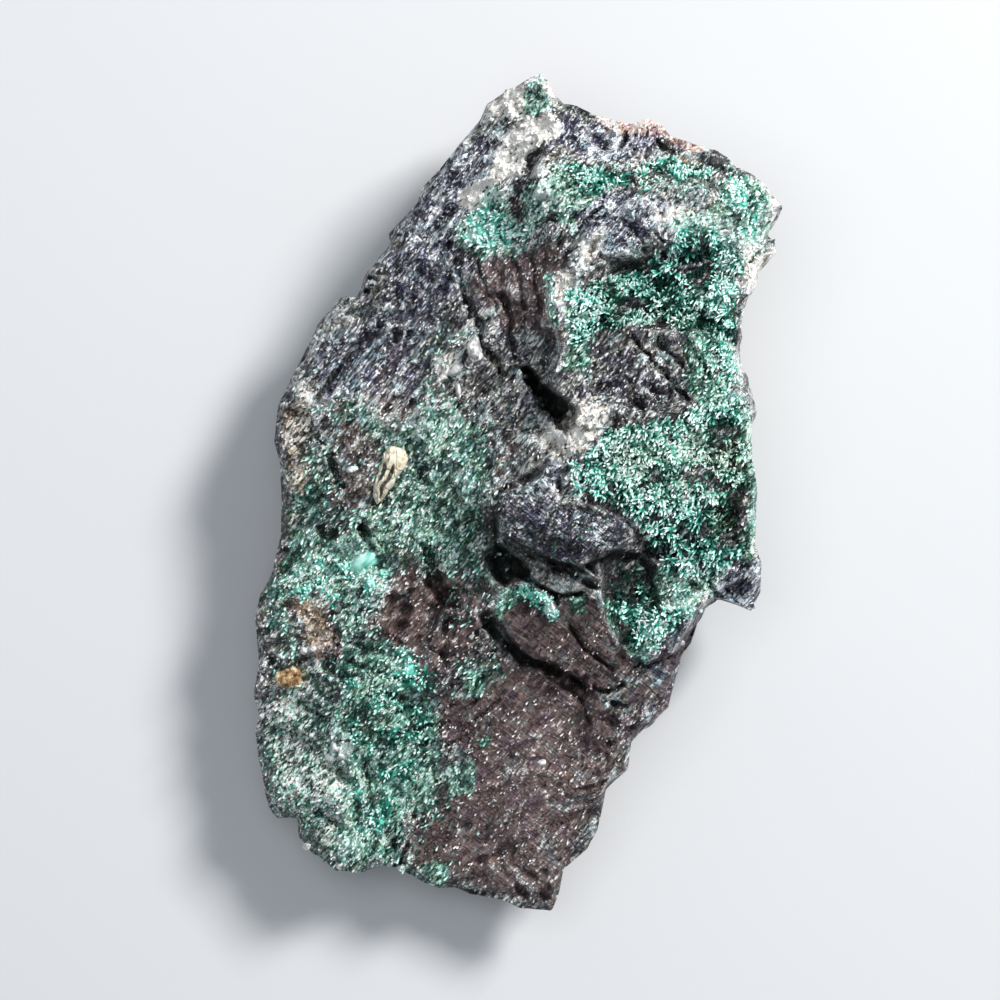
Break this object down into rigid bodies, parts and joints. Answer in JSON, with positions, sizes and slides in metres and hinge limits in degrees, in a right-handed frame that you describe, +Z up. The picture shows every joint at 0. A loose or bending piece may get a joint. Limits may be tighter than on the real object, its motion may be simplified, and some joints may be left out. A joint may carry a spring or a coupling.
{
  "type": "brochantite on bornite mineral specimen",
  "caption": "Palm-sized broken piece of tarnished bornite rock with green brochantite crystal druses, lying on its flat underside, for display or set dressing.",
  "frame": {"origin": "middle of the bounding box, at the flat underside", "axes": "+Z up from the surface it lies on, +Y along its length towards the narrow crest, +X towards the green blocks"},
  "size_m": [0.054, 0.086, 0.0261],
  "materials": {
    "bornite_rock": "rough tarnished purple-grey rock with a metallic glint",
    "brochantite_green": "emerald green glassy crystals, closely grown",
    "brochantite_dark": "dark green glassy crystals",
    "brochantite_pale": "pale mint crystals, sugary",
    "brochantite_dusty": "dull grey-green crystals and powder",
    "cream_grain": "cream, slightly waxy",
    "quartz": "white, glassy",
    "limonite": "rusty orange-brown, earthy"
  },
  "bodies": {
    "root": {"bornite_rock": "bornite_rock", "druse_upper_block": "brochantite_green", "druse_lower_block": "brochantite_green", "druse_pocket": "brochantite_dark", "druse_crest": "brochantite_pale", "druse_top_edge": "brochantite_pale", "druse_shoulder": "brochantite_pale", "druse_seam": "brochantite_pale", "druse_left_edge": "brochantite_pale", "druse_lower_left": "brochantite_dusty", "pale_pod": "cream_grain", "quartz_grain": "quartz", "limonite_nodule": "limonite"}
  },
  "joints": []
}
